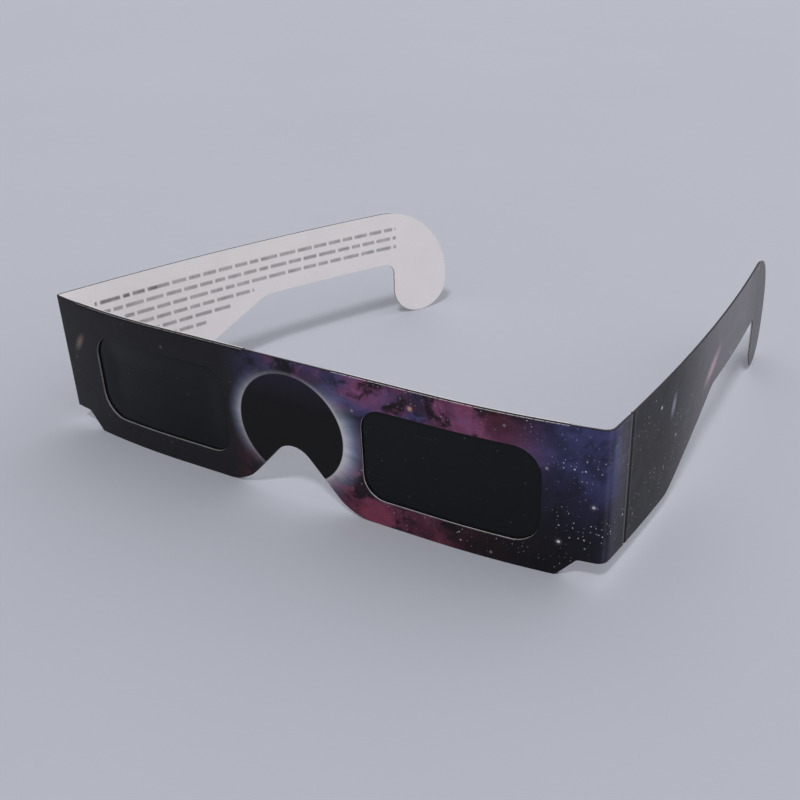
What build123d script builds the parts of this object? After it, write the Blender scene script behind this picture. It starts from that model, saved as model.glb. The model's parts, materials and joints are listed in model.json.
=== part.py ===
from build123d import *
import math
import os

# Folding card viewing glasses: one die-cut card blank, creased and folded, that holds
# two dark film windows. All sizes are in millimetres, +Z is up, +X runs along the front
# and +Y points from the front to the ear hooks. The rest pose is the half open one in
# which the glasses stand on a table.

# Sheet materials
card_thickness = 0.5
film_thickness = 0.1
glue_thickness = 0.3

# Front card, as seen from the front
half_width = 74.0
front_height = 36.2
step_height = 4.8
step_run = 4.4
step_end_margin = 5.4
step_radius = 1.2
flat_half_width = 36.0
curl_angle = 10.3

# Nose arch
nose_height = 14.0
nose_flank_angle = 48.0
nose_crown_radius = 6.0
nose_foot_radius = 11.0

# Eye windows, and how far they stay from the centre, the creases and the edges
window_inner_edge = 18.8
window_end_margin = 13.2
window_top_margin = 6.9
window_bottom_margin = 6.3
window_inner_radius = 5.5
window_outer_radius = 6.5
rear_window_margin = 1.0

# Film windows and the glue round them
film_overlap = 2.5
film_corner_radius = 2.0
glue_border = 3.4
glue_hole_margin = 0.6
glue_corner_radius = 3.0
bridge_glue_half_width = 9.0
bridge_glue_top_margin = 6.0
bridge_glue_nose_margin = 5.2

# Rear card and the fold along its top edge
rear_end_margin = 8.0
fold_gap_half_width = 12.0

# Temples, measured along the card from the crease and down from the top edge
temple_length = 121.5
left_bow_radius = 540.0
right_bow_radius = 600.0
temple_droop = 2.4
hook_reach = 17.5
slant_start = 32.0
slant_end = 60.0
slant_start_radius = 8.0
slant_end_radius = 6.0
hook_width = 18.0
hook_back_run = 2.2
hook_tip_flat = 0.4
hook_throat_radius = 3.5
score_distance = 8.7
score_width = 0.6
score_depth = 0.12
crease_relief = 0.05

# Rest angles of the temples, from the plane of the front
left_temple_angle = 107.8
right_temple_angle = 84.6
right_angle = 90.0

# How far a cutting shape runs past what it cuts
overrun = 5.0

# Worked out from the sizes above
curl = math.radians(curl_angle)
curl_radius = (half_width - flat_half_width) / curl
rear_face_depth = 2 * card_thickness + glue_thickness
glue_back = card_thickness + glue_thickness
fold_radius = rear_face_depth / 2
ply_top = front_height - fold_radius
step_top_width = half_width - step_end_margin
step_foot_width = step_top_width - step_run
rear_half_width = half_width - rear_end_margin
window_outer_edge = half_width - window_end_margin
end_height = front_height - step_height
hook_depth = front_height - temple_droop
shaft_depth = hook_depth - hook_reach
hook_tip_radius = (hook_width - hook_tip_flat) / 2
hook_back_radius = hook_depth - hook_tip_radius - hook_back_run
window_radii = [window_inner_radius, window_outer_radius, window_outer_radius, window_inner_radius]


def plan_point(along, depth):
    """Place on the curled front: along the card from the centre, and behind its outer face."""
    side = math.copysign(1, along)
    past = abs(along) - flat_half_width
    if past <= 0:
        return (along, depth)
    turn = past / curl_radius
    radius = curl_radius - depth
    return (side * (flat_half_width + radius * math.sin(turn)), curl_radius - radius * math.cos(turn))


def plan_run(start, end, depth):
    """Edges of one face of the front card in plan, from start to end along the card."""
    stops = [start] + [bend for bend in (-flat_half_width, flat_half_width) if start < bend < end] + [end]
    edges = []
    for near, far in zip(stops, stops[1:]):
        first = plan_point(near, depth)
        middle = plan_point((near + far) / 2, depth)
        last = plan_point(far, depth)
        straight = abs(near + far) / 2 <= flat_half_width
        edges.append(Line(first, last) if straight else ThreePointArc(first, middle, last))
    return edges


def card_layer(start, end, near_depth, far_depth, top):
    """A layer of the front between two depths, standing from the table to a height."""
    edges = plan_run(start, end, near_depth) + plan_run(start, end, far_depth)
    edges.append(Line(plan_point(start, near_depth), plan_point(start, far_depth)))
    edges.append(Line(plan_point(end, near_depth), plan_point(end, far_depth)))
    return extrude(make_face(edges), top)


def rounded_face(corners):
    """A flat face from (across, up, radius) corners, each rounded with a tangent arc."""
    points = [Vector(across, up) for across, up, radius in corners]
    edges = []
    first_start = None
    last_end = None
    for index, (across, up, radius) in enumerate(corners):
        corner = points[index]
        before = (points[index - 1] - corner).normalized()
        after = (points[(index + 1) % len(points)] - corner).normalized()
        half = math.radians(before.get_angle(after)) / 2
        start = corner + before * (radius / math.tan(half))
        end = corner + after * (radius / math.tan(half))
        if last_end is None:
            first_start = start
        else:
            edges.append(Line(last_end, start))
        if radius > 0:
            middle = corner + (before + after).normalized() * (radius / math.sin(half) - radius)
            edges.append(ThreePointArc(start, middle, end))
        last_end = end
    edges.append(Line(last_end, first_start))
    return make_face(edges)


def front_prism(face):
    """A face drawn in the front view, pushed right through the front card."""
    placed = Plane.XZ.offset(overrun) * face
    reach = plan_point(half_width, rear_face_depth)[1] + 2 * overrun
    return extrude(placed, -reach)


def front_outline():
    """Outline of the front card: stepped lower corners and a bell-shaped nose arch."""
    outer = half_width + overrun
    slope = math.radians(nose_flank_angle)
    arch_tip = nose_height - nose_crown_radius + nose_crown_radius / math.cos(slope)
    arch_foot = arch_tip / math.tan(slope)
    right = [
        (arch_foot, 0, nose_foot_radius),
        (step_foot_width, 0, step_radius),
        (step_top_width, step_height, step_radius),
        (outer, step_height, 0),
        (outer, front_height, 0),
    ]
    left = [(-across, up, radius) for across, up, radius in reversed(right)]
    return rounded_face([(0, arch_tip, nose_crown_radius)] + right + left)


def window_face(side, margin, radii):
    """A rounded window on one side, larger than the eye window by a margin."""
    low = window_bottom_margin - margin
    high = front_height - window_top_margin + margin
    inner = side * (window_inner_edge - margin)
    outer = side * (window_outer_edge + margin)
    corners = [(inner, low), (outer, low), (outer, high), (inner, high)]
    return rounded_face([(across, up, radius) for (across, up), radius in zip(corners, radii)])


def window_prism(side, margin, radii):
    return front_prism(window_face(side, margin, radii))


def fold_zone(side):
    """The box over one stretch of the top edge where the card turns over."""
    inner = side * fold_gap_half_width
    outer = side * plan_point(rear_half_width, 0)[0]
    reach = plan_point(half_width, rear_face_depth)[1] + overrun
    width = abs(outer - inner)
    middle = (inner + outer) / 2
    centre = Location((middle, reach / 2 - overrun / 2, ply_top + overrun / 2))
    return centre * Box(width, reach + overrun, overrun)


def build_front_panel():
    panel = card_layer(-half_width, half_width, 0, card_thickness, front_height)
    panel = panel & front_prism(front_outline())
    for side in (-1, 1):
        panel -= window_prism(side, 0, window_radii)
        panel -= fold_zone(side)
    return panel


def build_rear_panel():
    panel = card_layer(-rear_half_width, rear_half_width, glue_back, rear_face_depth, ply_top)
    panel = panel & front_prism(front_outline())
    radii = [radius + rear_window_margin for radius in window_radii]
    for side in (-1, 1):
        panel -= window_prism(side, rear_window_margin, radii)
    return panel


def build_top_fold(side):
    """The half round turn of the card over the top edge, from the nose gap to the rear card's end."""
    start, end = sorted((side * fold_gap_half_width, side * rear_half_width))
    outer = card_layer(start, end, 0, rear_face_depth, front_height)
    section = Plane.YZ * Pos(fold_radius, ply_top) * (Circle(fold_radius) - Circle(glue_thickness / 2))
    section = section & (Plane.YZ * Pos(fold_radius, front_height) * Rectangle(rear_face_depth, 2 * fold_radius))
    straight = Pos(flat_half_width * min(side, 0)) * extrude(section, flat_half_width)
    curl_axis = Axis((side * flat_half_width, curl_radius, 0), (0, 0, 1))
    curled = revolve(Pos(side * flat_half_width) * section, curl_axis, side * curl_angle)
    return (straight + curled) & outer


def build_film(side):
    radii = [film_corner_radius] * len(window_radii)
    sheet = card_layer(-rear_half_width, rear_half_width, glue_back - film_thickness, glue_back, ply_top)
    return sheet & window_prism(side, film_overlap, radii)


def build_glue_ring(side):
    """Glue between the plies, round a film window and over the film's border."""
    sheet = card_layer(-rear_half_width, rear_half_width, card_thickness, glue_back, ply_top)
    border = sheet & window_prism(side, glue_border, [glue_corner_radius] * len(window_radii))
    radii = [radius + glue_hole_margin for radius in window_radii]
    return border - window_prism(side, glue_hole_margin, radii) - build_film(side)


def build_bridge_glue():
    low = nose_height + bridge_glue_nose_margin
    high = front_height - bridge_glue_top_margin
    pad = Box(2 * bridge_glue_half_width, glue_thickness, high - low)
    return Pos(0, card_thickness + glue_thickness / 2, (low + high) / 2) * pad


def temple_outline():
    """Outline of a flat temple: distance from the crease, and height."""
    hook_front = temple_length - hook_width
    corners = [
        (-overrun, 0, 0),
        (temple_length, 0, hook_back_radius),
        (temple_length, hook_depth, hook_tip_radius),
        (hook_front, hook_depth, hook_tip_radius),
        (hook_front, shaft_depth, hook_throat_radius),
        (slant_end, shaft_depth, slant_end_radius),
        (slant_start, end_height, slant_start_radius),
        (-overrun, end_height, 0),
    ]
    face = rounded_face([(along, -depth, radius) for along, depth, radius in corners])
    tip_distance = temple_length - hook_width / 2
    droop = math.degrees(math.atan2(temple_droop, tip_distance))
    return Rot(0, 0, -droop) * face


def build_temple(side, rest_angle, bow_radius):
    """One temple, bowed inwards and turned about the inner edge of its crease."""
    reach = temple_length + overrun
    start = math.degrees(crease_relief / bow_radius)
    end = math.degrees(reach / bow_radius)
    inner_arc = CenterArc((-bow_radius, 0), bow_radius, start, end - start)
    outer_arc = CenterArc((-bow_radius, 0), bow_radius + card_thickness, start, end - start)
    ends = [Line(inner_arc @ 0, outer_arc @ 0), Line(inner_arc @ 1, outer_arc @ 1)]
    strip = extrude(make_face([inner_arc, outer_arc] + ends), front_height)
    score = Pos(card_thickness, score_distance, front_height / 2)
    strip -= score * Box(2 * score_depth, score_width, front_height)
    outline = Plane.YZ.offset(-reach) * Pos(0, front_height) * temple_outline()
    temple = strip & extrude(outline, 2 * reach)
    if side < 0:
        temple = mirror(temple, Plane.YZ)
    turn = side * (rest_angle - right_angle)
    crease = plan_point(side * half_width, card_thickness)
    return Pos(*crease) * Rot(0, 0, turn) * temple


parts = {
    "front_panel": build_front_panel(),
    "rear_panel": build_rear_panel(),
    "left_top_fold": build_top_fold(-1),
    "right_top_fold": build_top_fold(1),
    "left_filter_film": build_film(-1),
    "right_filter_film": build_film(1),
    "left_glue": build_glue_ring(-1),
    "right_glue": build_glue_ring(1),
    "bridge_glue": build_bridge_glue(),
    "left_temple": build_temple(-1, left_temple_angle, left_bow_radius),
    "right_temple": build_temple(1, right_temple_angle, right_bow_radius),
}

# The origin is the middle of the whole at rest, on the table
whole = Compound(children=[Compound(shape.solids()) for shape in parts.values()]).bounding_box()
to_origin = Pos(-(whole.min.X + whole.max.X) / 2, -(whole.min.Y + whole.max.Y) / 2, -whole.min.Z)

os.makedirs("parts", exist_ok=True)
for name, shape in parts.items():
    export_step(to_origin * Compound(shape.solids()), f"parts/{name}.step")

for side, name in ((-1, "left"), (1, "right")):
    crease = to_origin * Pos(*plan_point(side * half_width, card_thickness))
    print(name, "crease axis", round(crease.position.X, 4), round(crease.position.Y, 4))
print("origin shift", round(to_origin.position.X, 4), round(to_origin.position.Y, 4), round(to_origin.position.Z, 4))
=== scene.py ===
import json
import math

import bmesh
import bpy
from mathutils import Matrix, Vector, noise


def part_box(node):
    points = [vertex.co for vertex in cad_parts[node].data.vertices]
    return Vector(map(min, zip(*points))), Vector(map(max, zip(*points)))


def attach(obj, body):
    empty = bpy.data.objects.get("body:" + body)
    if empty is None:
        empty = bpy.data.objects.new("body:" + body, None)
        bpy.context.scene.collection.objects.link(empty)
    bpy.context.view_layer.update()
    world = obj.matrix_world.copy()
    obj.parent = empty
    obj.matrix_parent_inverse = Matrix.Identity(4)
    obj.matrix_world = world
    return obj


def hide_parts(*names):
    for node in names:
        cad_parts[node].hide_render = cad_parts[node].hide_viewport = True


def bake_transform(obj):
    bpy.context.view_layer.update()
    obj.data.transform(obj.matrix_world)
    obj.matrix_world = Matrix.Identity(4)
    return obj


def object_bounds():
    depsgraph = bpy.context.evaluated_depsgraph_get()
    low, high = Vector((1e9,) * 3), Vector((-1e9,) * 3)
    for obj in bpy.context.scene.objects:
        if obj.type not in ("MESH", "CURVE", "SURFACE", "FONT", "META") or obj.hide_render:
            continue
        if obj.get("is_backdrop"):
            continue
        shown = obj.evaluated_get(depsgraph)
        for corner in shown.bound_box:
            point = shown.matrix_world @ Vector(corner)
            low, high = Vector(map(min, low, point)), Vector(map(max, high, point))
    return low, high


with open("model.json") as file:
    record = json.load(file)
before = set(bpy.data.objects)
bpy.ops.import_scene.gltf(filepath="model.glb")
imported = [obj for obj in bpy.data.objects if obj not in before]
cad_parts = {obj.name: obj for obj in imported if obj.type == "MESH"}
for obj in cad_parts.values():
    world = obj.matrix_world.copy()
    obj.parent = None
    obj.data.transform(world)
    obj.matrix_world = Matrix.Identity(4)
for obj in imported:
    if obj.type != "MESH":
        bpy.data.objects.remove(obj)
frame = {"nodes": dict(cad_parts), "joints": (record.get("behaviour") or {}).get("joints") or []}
cad_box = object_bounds()

# Card viewing glasses, dressed as a printed and die-cut card. Sizes are in millimetres and
# angles in degrees; MM turns a size into metres when a finished mesh is written.
MM = 0.001

# Card blank, as the solids have it
card_thickness = 0.5
film_thickness = 0.1
glue_thickness = 0.3
half_width = 74.0
front_height = 36.2
step_height = 4.8
step_run = 4.4
step_end_margin = 5.4
step_radius = 1.2
flat_half_width = 36.0
curl_angle = 10.3
nose_height = 14.0
nose_flank_angle = 48.0
nose_crown_radius = 6.0
nose_foot_radius = 11.0
window_inner_edge = 18.8
window_end_margin = 13.2
window_top_margin = 6.9
window_bottom_margin = 6.3
window_inner_radius = 5.5
window_outer_radius = 6.5
rear_window_margin = 1.0
film_overlap = 2.5
film_corner_radius = 2.0
rear_end_margin = 8.0
fold_gap_half_width = 12.0

# Temples: sizes along the card from the crease, and below the top edge
temple_length = 121.5
bow_radius = {-1: 540.0, 1: 600.0}
temple_droop = 2.4
hook_reach = 17.5
slant_start = 32.0
slant_end = 60.0
slant_start_radius = 8.0
slant_end_radius = 6.0
hook_width = 18.0
hook_back_run = 2.2
hook_tip_flat = 0.4
hook_throat_radius = 3.5
score_distance = 8.7
rest_angle = {-1: 107.8, 1: 84.6}

# Finish of the card: how far each bend reaches from its crease, the pressed cut edges, the
# score that is rolled across each temple with a lip on both sides, and the film's slight dish
bend_reach = {-1: 0.5, 1: 1.7}
bend_tail = 1.2
edge_round = 0.07
score_depth = 0.16
score_lip = 0.07
score_half_width = 0.35
lip_offset = 2.0
film_dish = {-1: 0.55, 1: 0.22}
film_dish_run = 7.0
film_ripple = 0.05
film_ripple_size = 9.0

# How finely the card is cut into strips before it is bent, and the cuts at the score, which
# are counted in half widths of it. A point nearer to a cut than the snap moves onto it.
strip_width = 2.0
bend_steps = 12
fold_steps = 14
film_step = 1.4
arc_step = 0.45
score_cuts = (-4.0, -3.0, -2.5, -2.0, -1.5, -1.0, -0.5, 0.0, 0.5, 1.0, 1.5, 2.0, 2.5, 3.0, 4.0)
slice_snap = 0.005
join_snap = 0.01

# A face looks along an axis when this much of its normal does, and an edge is sharp when its
# two faces meet at more than this angle
facing_share = 0.9
sharp_angle = 20

# Worked out from the sizes above
curl_radius = (half_width - flat_half_width) / math.radians(curl_angle)
rear_depth = card_thickness + glue_thickness
rear_face_depth = rear_depth + card_thickness
fold_radius = rear_face_depth / 2
ply_top = front_height - fold_radius
fold_length = math.pi * fold_radius
rear_half_width = half_width - rear_end_margin
end_height = front_height - step_height
hook_depth = front_height - temple_droop
shaft_depth = hook_depth - hook_reach
hook_tip_radius = (hook_width - hook_tip_flat) / 2
hook_back_radius = hook_depth - hook_tip_radius - hook_back_run
droop = math.atan2(temple_droop, temple_length - hook_width / 2)
window_radii = [
    window_inner_radius, window_outer_radius, window_outer_radius, window_inner_radius,
]

# Places that come from the frame
creases = {}
for joint in frame["joints"]:
    creases[1 if joint["child"] == "right_arm" else -1] = Vector(joint["pos_m"]) / MM
centre_across = (creases[-1].x + creases[1].x) / 2
face_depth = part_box("front_panel")[0].y / MM
ARM = {-1: "left_arm", 1: "right_arm"}
WORD = {-1: "left", 1: "right"}

# Print: where it stops on the turn over the top edge, and where its ink has cracked there
print_end = ply_top + 0.47 * fold_length
print_end_heights = (print_end + 0.02, print_end + 0.1)
print_end_wander = 0.1
crack_height = ply_top + 0.245 * fold_length

# Night sky of the print. Each noise has the size of its patches, then detail and roughness,
# and each edge is the part of the noise in which a patch fades in. A base is how strong a
# pattern is at least, and its contrast is what it gains where it is full.
wander_noise = (22.0, 4.0)
wander_reach = (18.0, 13.0, 0.0)
dust_offset = (131.0, 47.0, 0.0)
cloud_noise = (14.0, 9.0, 0.58)
cloud_edge = (0.36, 0.62)
cloud_base = 0.2
cloud_contrast = 0.72
cloud_grain_noise = (3.2, 8.0, 0.66)
cloud_grain_base = 0.72
cloud_grain_contrast = 0.7
dust_noise = (9.0, 9.0, 0.62)
dust_edge = (0.48, 0.59)
dust_strength = 0.94
hue_noise = (21.0, 3.0)
hue_edge = (0.4, 0.56)
ember_noise = (24.0, 2.0)
ember_edge = (0.26, 0.4)
ember_sinks = 0.009
ember_strength = 0.85
night_noise = (12.0, 3.0)

# How the night sky changes along the blank: where each change starts and where it is complete,
# and what is left past it. The corner's heights are above the table.
clouds_start = (-20.0, 4.0)
clouds_stop = (79.0, 85.0)
clouds_left = 0.06
clouds_top = (crack_height - 0.1, crack_height + 0.15)
clouds_left_above = 0.1
blue_start = (49.0, 65.0)
# From each crease onwards the clouds turn grey-violet: a painted sheen on the turn
crease_sheen_start = (half_width, 80.0)
dark_corner_start = (28.0, 50.0)
dark_corner_stop = (70.0, 80.0)
dark_corner_left = 0.75
dark_corner_heights = (9.0, 32.0)
dark_corner_strength = 0.96
# The night is paler towards the left end: a painted sheen
left_sheen_stop = (-22.0, 6.0)
# Along each temple's far half and hook the night turns pale grey: a painted sheen
temple_sheen_start = (half_width + 24.0, half_width + 68.0)
temple_sheen_stop = (half_width + 84.0, half_width + 108.0)
temple_sheen_left = 0.6
temple_sheen_base = 0.65

# The right end has a thin veil of cloud everywhere: where it starts, how strong it is, and
# how much it takes from the thick clouds and from the dust there
veil_start = (48.0, 60.0)
veil_strength = 0.3
veil_cloud_cut = 0.35
veil_dust_cut = 0.5

# Stars and dust, as dots on a loose grid: spacing, radius and the share of cells that hold one.
# A dot is even up to its core's share of the radius, and soft past it.
dot_core = 0.3
dimmest_dot = 0.15
speck_grid = (1.15, 0.16, 0.42)
small_star_grid = (2.7, 0.25, 0.24)
large_star_grid = (11.0, 0.48, 0.5)
star_halo_grid = (11.0, 1.3, 0.5)
fine_dust_grid = (3.4, 0.16, 0.22)
coarse_dust_grid = (7.5, 0.24, 0.25)
speck_strength = 1.1
small_star_strength = 1.2
large_star_strength = 1.3
star_halo_strength = 0.16
lone_star_share = 0.15

# Stars lie in swarms that thicken towards the right end and thin out again on the temple
swarm_noise = (8.0, 3.0)
swarm_edge = (0.44, 0.62)
crowd_start = (-20.0, 62.0)
crowd_before = 0.1
crowd_stop = (92.0, 125.0)
crowd_left = 0.5
crowd_top = crack_height - 0.3
disc_star_cut = 0.96

# Smears of light on the print: middle, turn, reach along and across, strength and colour
smears = (
    ((half_width + 58.0, 24.0), 28.0, 9.0, 2.6, 0.8, (190, 160, 174)),
    ((half_width + 31.0, 27.0), 75.0, 4.0, 1.7, 0.7, (150, 152, 174)),
    ((6.5 - half_width, 25.0), 52.0, 4.5, 1.5, 0.6, (150, 128, 112)),
)
red_star_place = (31.5, 32.0)
red_star_radius = 1.2

# Eclipse figure on the print: its disc, a little lower than wide, and the corona that widens
# from left to right
disc_along = -0.15
disc_height = 18.7
disc_radius = 14.2
disc_height_share = 0.965
disc_edge = 0.15
disc_sheen_start = 5.0
rim_start = 0.1
rim_end = 1.2
rim_base = 0.15
rim_contrast = 0.5
corona_width = 6.5
corona_white_width = 4.0
corona_tilt = 0.12
corona_widens = (-8.0, 10.0)
corona_left_share = 0.6
corona_base = 0.5
corona_contrast = 0.42
ray_noise = (0.16, 5.0, 0.62)
ray_base = 0.35
ray_contrast = 1.3

# Grey rules on the left temple's inner face: the first row's place below the top edge, the
# rows' pitch and where they run. Each row past the long ones is shorter than the one above.
rule_margin = 3.9
rule_pitch = 2.85
rule_rows = 6
long_rows = 3
rule_start = 9.0
rule_end = 104.0
short_rule_cut = 24.0
short_rule_step = 8.0
rule_length = 5.0
rule_shift = 41.7
heading_end = 27.0
rule_gap = (0.04, 0.13)
rule_line = (0.08, 0.2)
rule_ink_noise = (3.2, 3.0, 0.6)
rule_ink_edge = (0.3, 0.7)
rule_ink_base = 0.72
rule_strength = 0.62
heading_gain = 0.25

# Worn ink, and the painted highlight and painted shade of each score. Each line has its half width
# and its soft edge, and how strongly it shows.
fold_crack_line = (0.02, 0.12)
fold_crack_strength = 0.75
fold_crack_grows = (-14.0, 12.0)
fold_crack_before = 0.6
crease_wear_line = (0.1, 0.5)
crease_wear_strength = 0.04
# The pale line beside each score, on the crease's side, is a painted highlight on the score's lip
score_highlight_line = (0.1, 0.5)
score_highlight_strength = 0.13
score_highlight_offset = 2.2 * score_half_width
# The dark line in each score is a painted shade in its groove
score_shade_line = (0.07, 0.16)
score_shade_strength = 0.7

# Cut edges: those at the top are inked, the others only near to the print, and the front's
# left half is greyer than its right one, a painted shade
top_edge_depth = 0.4
top_ink_strength = 0.97
side_ink_depths = (0.3, 0.42)
side_ink_strength = 0.9
shaded_edge_stop = (-12.0, -2.0)
shaded_edge_strength = 0.75
shaded_edge_ink_cut = 0.6
dragged_strength = 0.4

# Finer patterns of the card, its cut edges, the film, the glue and the floor. A stretch shows
# how much closer a pattern lies along each axis.
fleck_noise = (0.8, 5.0, 0.7)
fleck_edge = (0.36, 0.52)
print_end_noise = (3.0, 3.0)
print_mottle_noise = (5.0, 4.0)
print_grain_noise = (0.45, 3.0)
card_cloud_noise = (7.0, 4.0)
fibre_noise = (1.3, 5.0, 0.65)
fibre_edge = (0.55, 0.75)
fibre_stretch = (1.0, 3.2, 1.0)
fibre_strength = 0.3
layer_noise = (1.1, 5.0, 0.7)
layer_stretch = (1.0, 1.0, 9.0)
ragged_noise = (1.6, 5.0, 0.7)
ragged_reach = 0.24
dragged_noise = (3.4, 5.0, 0.65)
dragged_edge = (0.46, 0.7)
scuff_noise = (3.0, 6.0, 0.7)
scuff_edge = (0.62, 0.72)
scuff_stretch = (0.22, 1.7, 1.0)
scuff_strength = 0.12
film_dust_strength = 0.55
film_haze_noise = (12.0, 3.0)
lump_noise = (2.5 * MM, 4.0)
floor_mottle_noise = (160 * MM, 3.0)
floor_grain_noise = (0.9 * MM, 3.0)

# Colours as they look on a screen: red, green and blue from 0 to 255
blue_cloud = (84, 80, 132)
mauve_cloud = (138, 78, 116)
red_cloud = (130, 58, 78)
end_cloud = (68, 69, 114)
# Grey-violet of the painted sheen past each crease
crease_sheen_cloud = (82, 79, 96)
night_black = (15, 15, 17)
night_brown = (21, 18, 23)
# Paler black of the painted sheen at the left end
left_sheen_night = (31, 30, 34)
# Pale grey of the painted sheen on the temples' far half
temple_sheen_grey = (108, 105, 111)
corona_white = (210, 210, 216)
corona_blue = (146, 161, 197)
rim_white = (206, 204, 216)
disc_black = (18, 17, 19)
disc_violet = (34, 30, 48)
red_star = (224, 160, 138)
star_white = (226, 224, 234)
score_shade = (14, 13, 17)
cracked_ink = (196, 192, 196)
fold_white = (212, 207, 210)
card_white = (227, 221, 223)
card_bright = (236, 231, 232)
fibre_grey = (212, 204, 208)
rule_grey = (62, 54, 62)
core_white = (186, 181, 184)
core_bright = (216, 211, 213)
# Grey of the painted shade on the cut edges of the front's left half
core_shade = (112, 110, 116)
dragged_ink = (84, 80, 86)
edge_ink = (24, 23, 28)
film_black = (10, 12, 14)
film_haze = (16, 18, 22)
film_scuff = (92, 94, 98)
film_dust = (128, 134, 132)
glue_dark = (196, 188, 166)
glue_bright = (224, 218, 200)
floor_dark = (176, 179, 190)
floor_bright = (182, 185, 196)
wall_grey = (190, 193, 203)

# Room: the floor, how much light comes from each side, and the key light that shines in from
# the front
floor_half_size = 6000.0
floor_drop = 0.02
light_all_round = 0.05
light_from_right = 0.84
light_from_behind = 1.22
light_from_above = 0.4
key_strength = 1.15
key_spread = 9
key_travel = (-0.18, 0.55, -1.0)

# The photograph's view: the camera's place, and its turn, tilt and lean
camera_place = (130.87, -227.03, 140.13)
camera_turn = 32.07
camera_tilt = 28.8
camera_lean = -2.44
camera_lens = 48.2
camera_sensor = 36.0


def along_of(across):
    """Distance along the curled front of a place measured straight across it."""
    past = abs(across) - flat_half_width
    if past <= 0:
        return across
    return math.copysign(flat_half_width + curl_radius * math.asin(past / curl_radius), across)


def on_front(along, depth, height):
    """Place on the curled front: along the card, behind its outer face, above the table."""
    past = max(abs(along) - flat_half_width, 0)
    turn = past / curl_radius
    radius = curl_radius - depth
    across = min(abs(along), flat_half_width) + radius * math.sin(turn)
    back = curl_radius - radius * math.cos(turn)
    return Vector((centre_across + math.copysign(across, along), face_depth + back, height))


def on_temple(side, run, depth, height):
    """Place on a bowed temple: behind the crease, under the outer face, above the table."""
    radius = bow_radius[side] + card_thickness - depth
    turn = math.asin(run / radius)
    place = Vector((side * (radius * math.cos(turn) - bow_radius[side]), run, height))
    turned = Matrix.Rotation(math.radians(side * (rest_angle[side] - 90)), 3, "Z") @ place
    return turned + Vector((creases[side].x, creases[side].y, 0))


def on_bend(side, run, depth, height):
    """Place on the soft bend at a crease, from the front (run below 0) to the temple."""
    reach = bend_reach[side]
    if run <= -reach:
        return on_front(side * (half_width + run), depth, height)
    if run >= reach:
        return on_temple(side, run, depth, height)
    start = on_front(side * (half_width - reach), card_thickness, height)
    corner = Vector((creases[side].x, creases[side].y, height))
    end = on_temple(side, reach, card_thickness, height)
    share = (run + reach) / (2 * reach)
    inner = start.lerp(corner, share).lerp(corner.lerp(end, share), share)
    tangent = (corner - start).lerp(end - corner, share).normalized()
    outward = Vector((side * tangent.y, -side * tangent.x, 0))
    return inner + outward * (card_thickness - depth)


def blank_of_front(along, depth, height):
    """Place on the flat blank of a piece that is laid out along the front."""
    return (along, height, depth)


def blank_past_crease(side):
    """The same for a piece that is laid out from a crease."""
    return lambda run, depth, height: (side * (half_width + run), height, depth)


def tone(colour):
    """A screen colour in the shader's own scale, by the curve that screens use."""
    linear = []
    for value in colour:
        share = value / 255
        linear.append(share / 12.92 if share < 0.04 else ((share + 0.055) / 1.055) ** 2.4)
    return (*linear, 1.0)


class Signal:
    """A shader socket that takes part in sums: each operation adds its Math node."""

    def __init__(self, paint, socket):
        self.paint = paint
        self.socket = socket

    def __add__(self, other):
        return self.paint.math("ADD", self, other)

    def __sub__(self, other):
        return self.paint.math("SUBTRACT", self, other)

    def __rsub__(self, other):
        return self.paint.math("SUBTRACT", other, self)

    def __mul__(self, other):
        return self.paint.math("MULTIPLY", self, other)

    def __truediv__(self, other):
        return self.paint.math("DIVIDE", self, other)

    def __gt__(self, other):
        return self.paint.math("GREATER_THAN", self, other)

    def __lt__(self, other):
        return self.paint.math("LESS_THAN", self, other)

    def __abs__(self):
        return self.paint.math("ABSOLUTE", self)

    __radd__ = __add__
    __rmul__ = __mul__

    def output(self, name):
        """Another output of the same node."""
        return Signal(self.paint, self.socket.node.outputs[name])


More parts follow.
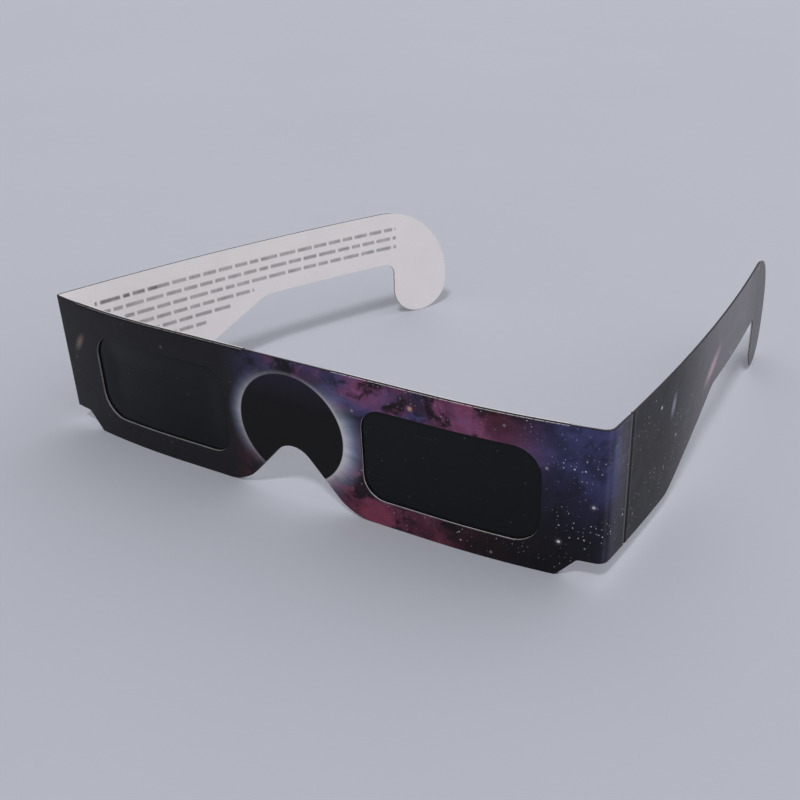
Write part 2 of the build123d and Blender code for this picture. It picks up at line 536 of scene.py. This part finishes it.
class Paint:
    """The nodes of a material, or of the world, which are all added by one method."""

    def __init__(self, owner):
        owner.use_nodes = True
        self.owner = owner
        self.tree = owner.node_tree
        self.tree.nodes.clear()

    def node(self, kind, inputs=None, output=0, **settings):
        """Adds a node: its settings first, then the values or links of its sockets."""
        made = self.tree.nodes.new(kind)
        for name, value in settings.items():
            setattr(made, name, value)
        for name, value in (inputs or {}).items():
            if isinstance(value, Signal):
                self.tree.links.new(value.socket, made.inputs[name])
            else:
                made.inputs[name].default_value = value
        return Signal(self, made.outputs[output]) if len(made.outputs) else None

    def math(self, operation, *values):
        return self.node("ShaderNodeMath", dict(enumerate(values)), operation=operation)

    def place(self):
        """A piece's own coordinates on the flat blank, in millimetres."""
        return self.node("ShaderNodeAttribute", output="Vector", attribute_name="blank")

    def axes(self, vector):
        """The X, Y and Z of a vector or a colour."""
        parts = self.node("ShaderNodeSeparateXYZ", {"Vector": vector})
        return parts, parts.output("Y"), parts.output("Z")

    def vectors(self, operation, first, second, output="Vector"):
        return self.node("ShaderNodeVectorMath", {0: first, 1: second}, output, operation=operation)

    def length(self, vector):
        return self.vectors("LENGTH", vector, (0, 0, 0), "Value")

    def noise(self, vector, size, detail, roughness=0.55, output=0):
        """Noise whose patches are about one size across."""
        sockets = {"Vector": vector, "Scale": 1 / size, "Detail": detail, "Roughness": roughness}
        return self.node("ShaderNodeTexNoise", sockets, output)

    def ease(self, value, low, high, start=0.0, end=1.0):
        """A smooth step from start to end while the value goes from low to high."""
        sockets = {0: value, 1: low, 2: high, 3: start, 4: end}
        return self.node("ShaderNodeMapRange", sockets, interpolation_type="SMOOTHSTEP")

    def band(self, value, middle, half, soft):
        """1 within half of the middle, and 0 past half plus soft."""
        return self.ease(abs(value - middle), half, half + soft, 1.0, 0.0)

    def mix(self, factor, first, second):
        sockets = {0: factor, 6: first, 7: second}
        return self.node("ShaderNodeMix", sockets, 2, data_type="RGBA")

    def bump(self, height, distance):
        sockets = {"Height": height, "Distance": distance * MM, "Strength": 1.0}
        return self.node("ShaderNodeBump", sockets)

    def finish(self, **sockets):
        """The surface, from the shader's socket names with low lines for their spaces."""
        named = {name.replace("_", " "): value for name, value in sockets.items()}
        surface = self.node("ShaderNodeBsdfPrincipled", named)
        self.node("ShaderNodeOutputMaterial", {"Surface": surface})
        return self.owner


def new_paint(name):
    return Paint(bpy.data.materials.new(name))


def dots(paint, place, spacing, radius, chance):
    """Round dots on a share of the cells of a loose grid, each with its own brightness."""
    sockets = {"Vector": place, "Scale": 1 / spacing}
    cells = paint.node("ShaderNodeTexVoronoi", sockets, voronoi_dimensions="2D")
    luck, glow, _ = paint.axes(cells.output("Color"))
    disc = paint.ease(cells, dot_core * radius / spacing, radius / spacing, 1.0, 0.0)
    return disc * (luck > 1 - chance) * (glow * glow * (1 - dimmest_dot) + dimmest_dot)


def smear(paint, place, middle, turn, long_reach, short_reach):
    """A soft streak of light, 1 in its middle."""
    sockets = {"Vector": place, "Location": (*middle, 0), "Rotation": (0, 0, math.radians(turn))}
    sockets["Scale"] = (long_reach, short_reach, 1)
    local = paint.node("ShaderNodeMapping", sockets, vector_type="TEXTURE")
    along, across, _ = paint.axes(local)
    flat = paint.node("ShaderNodeCombineXYZ", {"X": along, "Y": across})
    return paint.ease(paint.length(flat), 0.0, 1.0, 1.0, 0.0)


def sky(paint, place):
    """Soft clouds of mauve, red and blue over black, with dark dust drawn through them."""
    along, up, _ = paint.axes(place)
    wander = paint.noise(place, *wander_noise, output="Color")
    wander = paint.vectors("SUBTRACT", wander, (0.5, 0.5, 0.5))
    wander = paint.vectors("MULTIPLY", wander, wander_reach)
    drift = paint.vectors("ADD", place, wander)
    far = paint.vectors("ADD", drift, dust_offset)
    cloud = paint.ease(paint.noise(drift, *cloud_noise), *cloud_edge)
    grain = paint.noise(far, *cloud_grain_noise)
    dust = paint.ease(paint.noise(far, *dust_noise), *dust_edge)
    hue = paint.ease(paint.noise(far, *hue_noise), *hue_edge)
    ember = paint.ease(paint.noise(drift, *ember_noise) - up * ember_sinks, *ember_edge)
    colour = paint.mix(hue, tone(blue_cloud), tone(mauve_cloud))
    colour = paint.mix(ember * ember_strength, colour, tone(red_cloud))
    colour = paint.mix(paint.ease(along, *blue_start), colour, tone(end_cloud))
    # Past each crease the clouds turn grey-violet: a painted sheen
    colour = paint.mix(paint.ease(along, *crease_sheen_start), colour, tone(crease_sheen_cloud))
    reach = paint.ease(along, *clouds_start) * paint.ease(along, *clouds_stop, 1.0, clouds_left)
    reach = reach * paint.ease(up, *clouds_top, 1.0, clouds_left_above)
    veil = paint.ease(along, *veil_start)
    corner = paint.ease(along, *dark_corner_start)
    corner = corner * paint.ease(along, *dark_corner_stop, 1.0, dark_corner_left)
    corner = corner * paint.ease(up, *dark_corner_heights, 1.0, 0.0)
    lit = (cloud * cloud_contrast + cloud_base) * (1 - veil * veil_cloud_cut)
    lit = lit + veil * veil_strength
    clear = 1 - dust * (1 - veil * veil_dust_cut) * dust_strength
    strength = reach * lit * (grain * cloud_grain_contrast + cloud_grain_base) * clear
    brown = paint.noise(drift, *night_noise)
    night = paint.mix(brown, tone(night_black), tone(night_brown))
    # Paler night towards the left end: a painted sheen
    night = paint.mix(paint.ease(along, *left_sheen_stop, 1.0, 0.0), night, tone(left_sheen_night))
    # The haze here is a painted sheen that turns the temples' far half pale grey
    haze = paint.ease(along, *temple_sheen_start) * paint.ease(along, *temple_sheen_stop, 1.0, temple_sheen_left)
    haze = haze * (grain * cloud_grain_contrast + temple_sheen_base)
    night = paint.mix(haze, night, tone(temple_sheen_grey))
    return paint.mix(strength * (1 - corner * dark_corner_strength), night, colour)


def eclipse(paint, place, colour):
    """A plain dark disc with a thin pale rim and a corona that is broader to the right."""
    along, up, _ = paint.axes(place)
    level = up - disc_height
    across = along - disc_along
    flat = paint.node("ShaderNodeCombineXYZ", {"X": across, "Y": level / disc_height_share})
    reach = paint.length(flat)
    sideways = abs(across - level * corona_tilt) / (reach + 0.01)
    right = paint.ease(across, *corona_widens)
    rays = paint.noise(paint.vectors("NORMALIZE", flat, (0, 0, 0)), *ray_noise)
    past = (reach - disc_radius) / (right * (1 - corona_left_share) + corona_left_share)
    fade = paint.ease(past, 0.0, corona_width, 1.0, 0.0)
    corona = fade * (sideways * sideways * sideways) * (right * corona_contrast + corona_base)
    corona = corona * (rays * ray_contrast + ray_base)
    whiteness = paint.ease(past, 0.0, corona_white_width)
    glow = paint.mix(whiteness, tone(corona_white), tone(corona_blue))
    colour = paint.mix(corona, colour, glow)
    rim = paint.ease(reach, disc_radius + rim_start, disc_radius + rim_end, 1.0, 0.0)
    rim = rim * (sideways * right * rim_contrast + rim_base)
    colour = paint.mix(rim, colour, tone(rim_white))
    inside = paint.ease(reach, disc_radius - disc_edge, disc_radius + disc_edge, 1.0, 0.0)
    sheen = paint.ease(level, disc_sheen_start, disc_radius)
    shade = paint.mix(sheen, tone(disc_black), tone(disc_violet))
    return paint.mix(inside, colour, shade), inside


def night_stars(paint, place, crowd):
    """Specks of star in loose swarms, with a few large ones that have a soft halo."""
    swarm = paint.ease(paint.noise(place, *swarm_noise), *swarm_edge)
    specks = dots(paint, place, *speck_grid) * swarm
    small = dots(paint, place, *small_star_grid)
    small = small * (swarm * (1 - lone_star_share) + lone_star_share)
    large = dots(paint, place, *large_star_grid)
    halo = dots(paint, place, *star_halo_grid)
    light = specks * speck_strength + small * small_star_strength
    light = light + large * large_star_strength + halo * halo * star_halo_strength
    return light * crowd


def cracks_and_score_highlight(paint, place):
    """Where the ink has cracked, on the top fold and at the creases, and a pale line beside each
    score that is a painted highlight on its lip.
    """
    along, up, _ = paint.axes(place)
    run = abs(along)
    flecks = paint.ease(paint.noise(place, *fleck_noise), *fleck_edge)
    folded = (run > fold_gap_half_width) * (run < rear_half_width)
    fold = paint.band(up, crack_height, *fold_crack_line) * folded
    fold = fold * paint.ease(along, *fold_crack_grows, fold_crack_before, 1.0)
    crease = paint.band(run, half_width, *crease_wear_line)
    # A pale line beside the score: a painted highlight on its lip
    score = paint.band(run, half_width + score_distance - score_highlight_offset, *score_highlight_line)
    worn = fold * flecks * fold_crack_strength + crease * flecks * crease_wear_strength
    return worn + score * score_highlight_strength


def printed_card():
    """Satin print on the outer face: a night sky of cloud, stars and an eclipsed disc."""
    paint = new_paint("printed_card")
    place = paint.place()
    along, up, _ = paint.axes(place)
    colour = sky(paint, place)
    for middle, turn, long_reach, short_reach, strength, light in smears:
        streak = smear(paint, place, middle, turn, long_reach, short_reach)
        colour = paint.mix(streak * strength, colour, tone(light))
    spot = smear(paint, place, red_star_place, 0.0, red_star_radius, red_star_radius)
    colour = paint.mix(spot * spot, colour, tone(red_star))
    colour, inside = eclipse(paint, place, colour)
    # A dark line along each score: a painted shade in its groove, with no stars in it
    score_shade_mask = paint.band(abs(along), half_width + score_distance, *score_shade_line)
    crowd = paint.ease(along, *crowd_start, crowd_before, 1.0)
    crowd = crowd * paint.ease(along, *crowd_stop, 1.0, crowd_left)
    crowd = crowd * (1 - inside * disc_star_cut) * (1 - score_shade_mask) * (up < crowd_top)
    colour = paint.mix(night_stars(paint, place, crowd), colour, tone(star_white))
    colour = paint.mix(score_shade_mask * score_shade_strength, colour, tone(score_shade))
    # Cracked ink on the fold and at the creases, with a painted highlight beside each score
    cracks_and_highlight = cracks_and_score_highlight(paint, place)
    colour = paint.mix(cracks_and_highlight, colour, tone(cracked_ink))
    ragged = up + paint.noise(place, *print_end_noise) * print_end_wander
    unprinted = paint.ease(ragged, *print_end_heights)
    colour = paint.mix(unprinted, colour, tone(fold_white))
    mottle = paint.noise(place, *print_mottle_noise)
    grain = paint.noise(place, *print_grain_noise)
    return paint.finish(
        Base_Color=colour,
        Roughness=0.34 + mottle * 0.14 + cracks_and_highlight * 0.3,
        IOR=1.26,
        Normal=paint.bump(grain * 0.3 + mottle, 0.035),
    )


def white_card(name, coated=False, ruled=False):
    """White card with short fibres, bare or coated; a ruled one has rows of plain grey rules."""
    paint = new_paint(name)
    place = paint.place()
    clouding = paint.noise(place, *card_cloud_noise)
    fibres = paint.noise(paint.vectors("MULTIPLY", place, fibre_stretch), *fibre_noise)
    colour = paint.mix(clouding, tone(card_white), tone(card_bright))
    shaded = paint.ease(fibres, *fibre_edge) * fibre_strength
    colour = paint.mix(shaded, colour, tone(fibre_grey))
    if ruled:
        colour = paint.mix(grey_rules(paint, place), colour, tone(rule_grey))
    rough = 0.5 if coated else 0.82
    relief = 0.012 if coated else 0.03
    return paint.finish(
        Base_Color=colour,
        Roughness=rough + fibres * 0.1,
        Normal=paint.bump(fibres * 0.6 + clouding * 0.5, relief),
    )


def grey_rules(paint, place):
    """Rows of broken grey rules under the temple's top edge: the long rows, then short ones."""
    along, up, _ = paint.axes(place)
    run = abs(along) - half_width
    rows = (front_height - rule_margin - up - run * math.tan(droop)) / rule_pitch
    row = paint.math("FLOOR", rows)
    end = rule_end - (row > long_rows - 0.5) * (row * short_rule_step + short_rule_cut)
    inside = (rows > 0) * (rows < rule_rows) * (run > rule_start) * (run < end)
    spot = run + row * rule_shift
    gaps = paint.node(
        "ShaderNodeTexVoronoi", {"W": spot, "Scale": 1 / rule_length},
        voronoi_dimensions="1D", feature="DISTANCE_TO_EDGE",
    )
    flat = paint.node("ShaderNodeCombineXYZ", {"X": spot, "Y": rows})
    patchy = paint.ease(paint.noise(flat, *rule_ink_noise), *rule_ink_edge, rule_ink_base, 1.0)
    heading = (row < 0.5) * (run < heading_end)
    line = paint.band(rows - row, 0.5, *rule_line)
    ends = paint.ease(gaps, *rule_gap)
    return line * inside * ends * patchy * (heading * heading_gain + rule_strength)


def cut_core():
    """Die-cut edge of the card: pressed white fibres, inked at the top and next to the print."""
    paint = new_paint("cut_core")
    place = paint.place()
    along, up, depth = paint.axes(place)
    layers = paint.noise(paint.vectors("MULTIPLY", place, layer_stretch), *layer_noise)
    ragged = depth + paint.noise(place, *ragged_noise) * ragged_reach
    dragged = paint.ease(paint.noise(place, *dragged_noise), *dragged_edge)
    run = paint.math("MAXIMUM", abs(along) - half_width, 0.0)
    top = (up + run * math.tan(droop)) > front_height - top_edge_depth
    # The front's left half has greyer, less inked cut edges: a painted shade
    left = paint.ease(along, *shaded_edge_stop, 1.0, 0.0) * (run < 0.1)
    colour = paint.mix(layers, tone(core_white), tone(core_bright))
    colour = paint.mix(left * shaded_edge_strength, colour, tone(core_shade))
    colour = paint.mix(dragged * dragged_strength, colour, tone(dragged_ink))
    inked = paint.ease(ragged, *side_ink_depths, side_ink_strength, 0.0)
    inked = inked * (1 - left * shaded_edge_ink_cut)
    inked = paint.math("MAXIMUM", inked, top * top_ink_strength)
    colour = paint.mix(inked, colour, tone(edge_ink))
    return paint.finish(Base_Color=colour, Roughness=0.86, Normal=paint.bump(layers, 0.04))


def dark_film():
    """Black polymer film: smooth and faintly glossy, with specks of dust and hairline scuffs."""
    paint = new_paint("dark_film")
    place = paint.place()
    dust = dots(paint, place, *fine_dust_grid) + dots(paint, place, *coarse_dust_grid)
    drawn = paint.vectors("MULTIPLY", place, scuff_stretch)
    scuffs = paint.ease(paint.noise(drawn, *scuff_noise), *scuff_edge)
    haze = paint.noise(place, *film_haze_noise)
    colour = paint.mix(haze, tone(film_black), tone(film_haze))
    colour = paint.mix(scuffs * scuff_strength, colour, tone(film_scuff))
    colour = paint.mix(dust * film_dust_strength, colour, tone(film_dust))
    return paint.finish(
        Base_Color=colour,
        Roughness=0.13 + haze * 0.1 + scuffs * 0.2,
        IOR=1.29,
        Normal=paint.bump(haze, 0.05),
    )


def dried_glue():
    """Yellowish paper glue between the plies."""
    paint = new_paint("dried_glue")
    place = paint.node("ShaderNodeTexCoord", output="Object")
    lumps = paint.noise(place, *lump_noise)
    return paint.finish(
        Base_Color=paint.mix(lumps, tone(glue_dark), tone(glue_bright)),
        Roughness=0.45 + lumps * 0.2,
        Normal=paint.bump(lumps, 0.06),
    )


def table_top():
    """Plain pale floor with a slight mottle."""
    paint = new_paint("table_top")
    place = paint.node("ShaderNodeTexCoord", output="Object")
    mottle = paint.noise(place, *floor_mottle_noise)
    grain = paint.noise(place, *floor_grain_noise)
    return paint.finish(
        Base_Color=paint.mix(mottle, tone(floor_dark), tone(floor_bright)),
        Roughness=0.9,
        Normal=paint.bump(grain, 0.02),
    )


def rounded_ring(bm, corners):
    """A flat face through (along, height, radius) corners, each rounded with an arc."""
    points = [Vector((along, 0, height)) for along, height, radius in corners]
    verts = [bm.verts.new(point) for point in points]
    bm.faces.new(verts)
    for index, (along, height, radius) in enumerate(corners):
        if radius == 0:
            continue
        before = points[index - 1] - points[index]
        after = points[(index + 1) % len(points)] - points[index]
        half = before.angle(after) / 2
        steps = max(3, round((math.pi - 2 * half) * radius / arc_step))
        bmesh.ops.bevel(
            bm, geom=[verts[index]], offset=radius / math.tan(half), offset_type="OFFSET",
            segments=steps, profile=0.5, affect="VERTICES", material=-1,
        )


def everything(bm):
    """All that a mesh holds, for the operators that cut or turn it."""
    return bm.verts[:] + bm.edges[:] + bm.faces[:]


def cut_away(bm, place, normal):
    """Cuts off what lies past a plane."""
    bmesh.ops.bisect_plane(
        bm, geom=everything(bm), plane_co=place, plane_no=normal, clear_outer=True,
    )


def slice_across(bm, places, axis):
    """Cuts the sheet into strips at places along an axis, so that it can bend there."""
    normal = Vector((0, 0, 0))
    normal[axis] = 1
    for place in places:
        bmesh.ops.bisect_plane(
            bm, geom=everything(bm), dist=slice_snap, plane_co=normal * place, plane_no=normal,
        )


def flat_sheet(rings, near, thickness, trims=(), joined=()):
    """A flat closed sheet: X along the card, Y behind its outer face, Z above the table.

    The first ring is the outline and the others are holes. The cut edges are pressed round,
    apart from those at the joined places along the card, where another piece goes on.
    """
    bm = bmesh.new()
    for ring in rings:
        rounded_ring(bm, ring)
    bmesh.ops.delete(bm, geom=bm.faces[:], context="FACES_ONLY")
    bmesh.ops.triangle_fill(bm, use_beauty=True, edges=bm.edges[:], normal=(0, -1, 0))
    for place, normal in trims:
        cut_away(bm, place, normal)
    bmesh.ops.dissolve_limit(bm, angle_limit=0.01, verts=bm.verts[:], edges=bm.edges[:])
    bmesh.ops.solidify(bm, geom=bm.faces[:], thickness=thickness)
    bmesh.ops.translate(bm, vec=(0, near, 0), verts=bm.verts[:])
    bm.normal_update()
    rims = []
    for edge in bm.edges:
        flat = max(abs(face.normal.y) for face in edge.link_faces) > facing_share
        meets = any(
            all(abs(vert.co.x - place) < join_snap for vert in edge.verts) for place in joined
        )
        if flat and not meets and edge.calc_face_angle(0) > 1:
            rims.append(edge)
    bmesh.ops.bevel(
        bm, geom=rims, offset=edge_round, offset_type="OFFSET",
        segments=2, profile=0.5, affect="EDGES", material=-1,
    )
    return bm


def strips(start, end, width=strip_width):
    """Evenly spaced places between start and end, at most one width apart."""
    count = max(1, math.ceil(abs(end - start) / width))
    return [start + (end - start) * index / count for index in range(1, count)]


def finish_piece(name, bm, placing, blank, materials, printed=-1):
    """Paints the faces, bends the sheet into its place and writes the object.

    Materials are those of the printed face, the bare face and the cut edges, and the printed
    face is the outer one (-1) or the rear one (1).
    """
    bm.normal_update()
    for face in bm.faces:
        facing = face.normal.y * printed
        face.material_index = 0 if facing > facing_share else 1 if facing < -facing_share else 2
        face.smooth = True
    layer = bm.verts.layers.float_vector.new("blank")
    for vert in bm.verts:
        along, depth, height = vert.co
        vert[layer] = blank(along, depth, height)
        vert.co = placing(along, depth, height) * MM
    bmesh.ops.recalc_face_normals(bm, faces=bm.faces[:])
    if bm.calc_volume(signed=True) < 0:
        bmesh.ops.reverse_faces(bm, faces=bm.faces[:])
    mesh = bpy.data.meshes.new(name)
    bm.to_mesh(mesh)
    bm.free()
    mesh.set_sharp_from_angle(angle=math.radians(sharp_angle))
    for material in materials:
        mesh.materials.append(material)
    piece = bpy.data.objects.new(name, mesh)
    bpy.context.scene.collection.objects.link(piece)
    return piece


def front_corners(end, top_corners):
    """Outline of the front view: nose arch, stepped lower corners and a given top edge."""
    slope = math.radians(nose_flank_angle)
    arch_tip = nose_height - nose_crown_radius + nose_crown_radius / math.cos(slope)
    step_top = half_width - step_end_margin
    right = [
        (arch_tip / math.tan(slope), 0, nose_foot_radius),
        (along_of(step_top - step_run), 0, step_radius),
        (along_of(step_top), step_height, step_radius),
        (end, step_height, 0),
        *top_corners,
    ]
    left = [(-along, height, radius) for along, height, radius in reversed(right)]
    return [(0, arch_tip, nose_crown_radius)] + right + left


def window_corners(side, margin, radii):
    """A rounded window on one side, larger than the eye window by a margin."""
    low = window_bottom_margin - margin
    high = front_height - window_top_margin + margin
    inner = along_of(side * (window_inner_edge - margin))
    outer = along_of(side * (half_width - window_end_margin + margin))
    places = [(inner, low), (outer, low), (outer, high), (inner, high)]
    return [(along, height, radius) for (along, height), radius in zip(places, radii)]


def build_front_card(ink, bare, core):
    """The outer ply, which stands up to its full height only where no card is turned over."""
    end = half_width - bend_reach[-1] - bend_tail
    right_end = half_width - bend_reach[1] - bend_tail
    top = [
        (end, front_height, 0),
        (rear_half_width, front_height, 0),
        (rear_half_width, ply_top, 0),
        (fold_gap_half_width, ply_top, 0),
        (fold_gap_half_width, front_height, 0),
    ]
    rings = [front_corners(end, top)]
    rings += [window_corners(side, 0, window_radii) for side in (-1, 1)]
    trims = [((right_end, 0, 0), (1, 0, 0))]
    bm = flat_sheet(rings, 0, card_thickness, trims, (-end, right_end))
    slice_across(bm, strips(-end, right_end), 0)
    piece = finish_piece("front_card", bm, on_front, blank_of_front, (ink, bare, core))
    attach(piece, "front")
    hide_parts("front_panel")
    return piece


def build_rear_card(coated, bare, core):
    """The inner ply, which is the blank's upper part and so lies on it the other way up."""
    top = [(half_width, front_height, 0)]
    radii = [radius + rear_window_margin for radius in window_radii]
    rings = [front_corners(half_width, top)]
    rings += [window_corners(side, rear_window_margin, radii) for side in (-1, 1)]
    trims = [((side * rear_half_width, 0, 0), (side, 0, 0)) for side in (-1, 1)]
    trims.append(((0, 0, ply_top), (0, 0, 1)))
    bm = flat_sheet(rings, rear_depth, card_thickness, trims)
    slice_across(bm, strips(-rear_half_width, rear_half_width), 0)

    def blank(along, depth, height):
        return (along, 2 * ply_top + fold_length - height, rear_face_depth - depth)

    piece = finish_piece("rear_card", bm, on_front, blank, (coated, bare, core), printed=1)
    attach(piece, "front")
    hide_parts("rear_panel")
    return piece


def build_fold_roll(side, ink, core):
    """The card where it turns over the top edge, from the front ply to the rear one."""
    start, end = sorted((side * fold_gap_half_width, side * rear_half_width))
    bm = bmesh.new()
    places = ((start, 0), (end, 0), (end, card_thickness), (start, card_thickness))
    bm.faces.new([bm.verts.new((along, depth, ply_top)) for along, depth in places])
    bmesh.ops.spin(
        bm, geom=everything(bm), cent=(0, fold_radius, ply_top),
        axis=(1, 0, 0), angle=-math.pi, steps=fold_steps, use_duplicate=False,
    )
    slice_across(bm, strips(start, end), 0)

    def blank(along, depth, height):
        turn = math.atan2(height - ply_top, fold_radius - depth)
        return (along, ply_top + fold_radius * turn, 0)

    piece = finish_piece(f"{WORD[side]}_fold_roll", bm, on_front, blank, (core, core, ink))
    for face in piece.data.polygons:
        is_end = abs(face.normal.x) > facing_share
        face.material_index = 0 if is_end else 2
    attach(piece, "front")
    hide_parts(f"{WORD[side]}_top_fold")
    return piece


def build_film(side, film):
    """Film with a slight dish towards the eye and a faint ripple, flat where it is glued."""
    inner = along_of(side * window_inner_edge)
    outer = along_of(side * (half_width - window_end_margin))
    top = front_height - window_top_margin
    ring = window_corners(side, film_overlap, [film_corner_radius] * len(window_radii))
    bm = flat_sheet([ring], rear_depth - film_thickness, film_thickness)
    places = [along for along, height, radius in ring]
    heights = [height for along, height, radius in ring]
    slice_across(bm, strips(min(places), max(places), film_step), 0)
    slice_across(bm, strips(min(heights), max(heights), film_step), 2)

    def placing(along, depth, height):
        outside = not min(inner, outer) < along < max(inner, outer)
        rise = 0.0 if outside else 1.0
        margins = (
            abs(along - inner), abs(outer - along), height - window_bottom_margin, top - height,
        )
        for margin in margins:
            share = min(max(margin / film_dish_run, 0), 1)
            rise *= share * share * (3 - 2 * share)
        ripple = noise.noise(Vector((along, height, side * 40.0)) / film_ripple_size)
        return on_front(along, depth + rise * (film_dish[side] + film_ripple * ripple), height)

    piece = finish_piece(f"{WORD[side]}_film", bm, placing, blank_of_front, (film, film, film))
    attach(piece, "front")
    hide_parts(f"{WORD[side]}_filter_film")
    return piece


def build_bend(side, ink, bare, core):
    """The creased strip between the front and a temple, bent to the temple's rest angle."""
    reach = bend_reach[side]
    tail = reach + bend_tail
    sink = tail * math.tan(droop)
    corners = [
        (-tail, step_height, 0),
        (0, step_height, 0),
        (tail, step_height - sink, 0),
        (tail, front_height - sink, 0),
        (0, front_height, 0),
        (-tail, front_height, 0),
    ]
    bm = flat_sheet([corners], 0, card_thickness, (), (-tail, tail))
    slice_across(bm, [-reach, reach] + strips(-reach, reach, 2 * reach / bend_steps), 0)

    def placing(run, depth, height):
        return on_bend(side, run, depth, height)

    name = f"{WORD[side]}_bend"
    piece = finish_piece(name, bm, placing, blank_past_crease(side), (ink, bare, core))
    middle = front_height / 2
    start = on_bend(side, -reach, card_thickness, middle) * MM
    end = on_bend(side, reach, card_thickness, middle) * MM
    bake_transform(piece)
    return piece


def temple_corners():
    """Outline of a flat temple with its ear hook, turned down by the droop about the crease."""
    hook_front = temple_length - hook_width
    corners = [
        (-bend_tail, 0, 0),
        (temple_length, 0, hook_back_radius),
        (temple_length, hook_depth, hook_tip_radius),
        (hook_front, hook_depth, hook_tip_radius),
        (hook_front, shaft_depth, hook_throat_radius),
        (slant_end, shaft_depth, slant_end_radius),
        (slant_start, end_height, slant_start_radius),
        (-bend_tail, end_height, 0),
    ]
    turned = []
    for run, depth, radius in corners:
        across = run * math.cos(droop) - depth * math.sin(droop)
        down = run * math.sin(droop) + depth * math.cos(droop)
        turned.append((across, front_height - down, radius))
    return turned


def build_temple(side, ink, bare, core):
    """A temple past its bend, with the score that is rolled across it."""
    start = bend_reach[side] + bend_tail
    trims = [((start, 0, 0), (-1, 0, 0))]
    bm = flat_sheet([temple_corners()], 0, card_thickness, trims, (start,))
    slice_across(bm, strips(start, temple_length), 0)
    slice_across(bm, [score_distance + cut * score_half_width for cut in score_cuts], 0)

    def placing(run, depth, height):
        offset = abs(run - score_distance) / score_half_width
        sink = score_depth * math.exp(-offset * offset)
        lip = score_lip * math.exp(-(offset - lip_offset) * (offset - lip_offset))
        return on_temple(side, run, depth + sink - lip, height)

    name = f"{WORD[side]}_temple_card"
    piece = finish_piece(name, bm, placing, blank_past_crease(side), (ink, bare, core))
    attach(piece, ARM[side])
    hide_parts(f"{WORD[side]}_temple")
    return piece


def build_floor(material):
    bm = bmesh.new()
    bmesh.ops.create_grid(bm, x_segments=4, y_segments=4, size=floor_half_size * MM)
    bmesh.ops.translate(bm, vec=(0, 0, -floor_drop * MM), verts=bm.verts[:])
    mesh = bpy.data.meshes.new("floor")
    bm.to_mesh(mesh)
    bm.free()
    mesh.materials.append(material)
    floor = bpy.data.objects.new("floor", mesh)
    bpy.context.scene.collection.objects.link(floor)
    floor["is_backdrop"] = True


def build_room():
    """A pale room, lit from behind and from the right. The camera sees its plain grey wall."""
    room = Paint(bpy.data.worlds.new("pale_room"))
    bpy.context.scene.world = room.owner
    right, back, high = room.axes(room.node("ShaderNodeTexCoord", output="Generated"))
    from_right = room.math("MAXIMUM", right, 0.0) * light_from_right
    from_behind = room.math("MAXIMUM", back, 0.0) * light_from_behind
    from_above = room.math("MAXIMUM", high, 0.0)
    from_above = from_above * from_above * light_from_above
    strength = light_all_round + from_right + from_behind + from_above
    white = (1.0, 1.0, 1.0, 1.0)
    glow = room.node("ShaderNodeBackground", {"Color": white, "Strength": strength})
    wall = room.node("ShaderNodeBackground", {"Color": tone(wall_grey), "Strength": 1.0})
    seen = room.node("ShaderNodeLightPath", output="Is Camera Ray")
    whole = room.node("ShaderNodeMixShader", {0: seen, 1: glow, 2: wall})
    room.node("ShaderNodeOutputWorld", {"Surface": whole})


def build_key_light():
    key = bpy.data.lights.new("key", "SUN")
    key.energy = key_strength
    key.angle = math.radians(key_spread)
    lamp = bpy.data.objects.new("key", key)
    lamp.rotation_euler = Vector(key_travel).to_track_quat("-Z", "Y").to_euler()
    bpy.context.scene.collection.objects.link(lamp)


def build_camera():
    camera = bpy.data.cameras.new("camera")
    camera.sensor_width = camera_sensor
    camera.lens = camera_lens
    camera.clip_start = 0.01
    camera.clip_end = 20.0
    holder = bpy.data.objects.new("camera", camera)
    turn = Matrix.Rotation(math.radians(camera_turn), 4, "Z")
    tilt = Matrix.Rotation(math.radians(90 - camera_tilt), 4, "X")
    lean = Matrix.Rotation(math.radians(camera_lean), 4, "Z")
    holder.matrix_world = Matrix.Translation(Vector(camera_place) * MM) @ turn @ tilt @ lean
    bpy.context.scene.collection.objects.link(holder)
    bpy.context.scene.camera = holder


ink = printed_card()
bare = white_card("bare_card")
ruled = white_card("ruled_card", ruled=True)
coated = white_card("coated_card", coated=True)
core = cut_core()
film = dark_film()
glue = dried_glue()

build_front_card(ink, bare, core)
build_rear_card(coated, bare, core)
for side in (-1, 1):
    build_fold_roll(side, ink, core)
    build_film(side, film)
    build_bend(side, ink, bare, core)
    build_temple(side, ink, ruled if side < 0 else bare, core)
for node in ("left_glue", "right_glue", "bridge_glue"):
    for slot in frame["nodes"][node].material_slots:
        slot.material = glue

build_floor(table_top())
build_room()
build_key_light()
build_camera()
bpy.context.scene.view_settings.view_transform = "Standard"

visual_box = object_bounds()
boxes = {"cad": cad_box, "visual": visual_box}
{name: [list(low), list(high)] for name, (low, high) in boxes.items()}
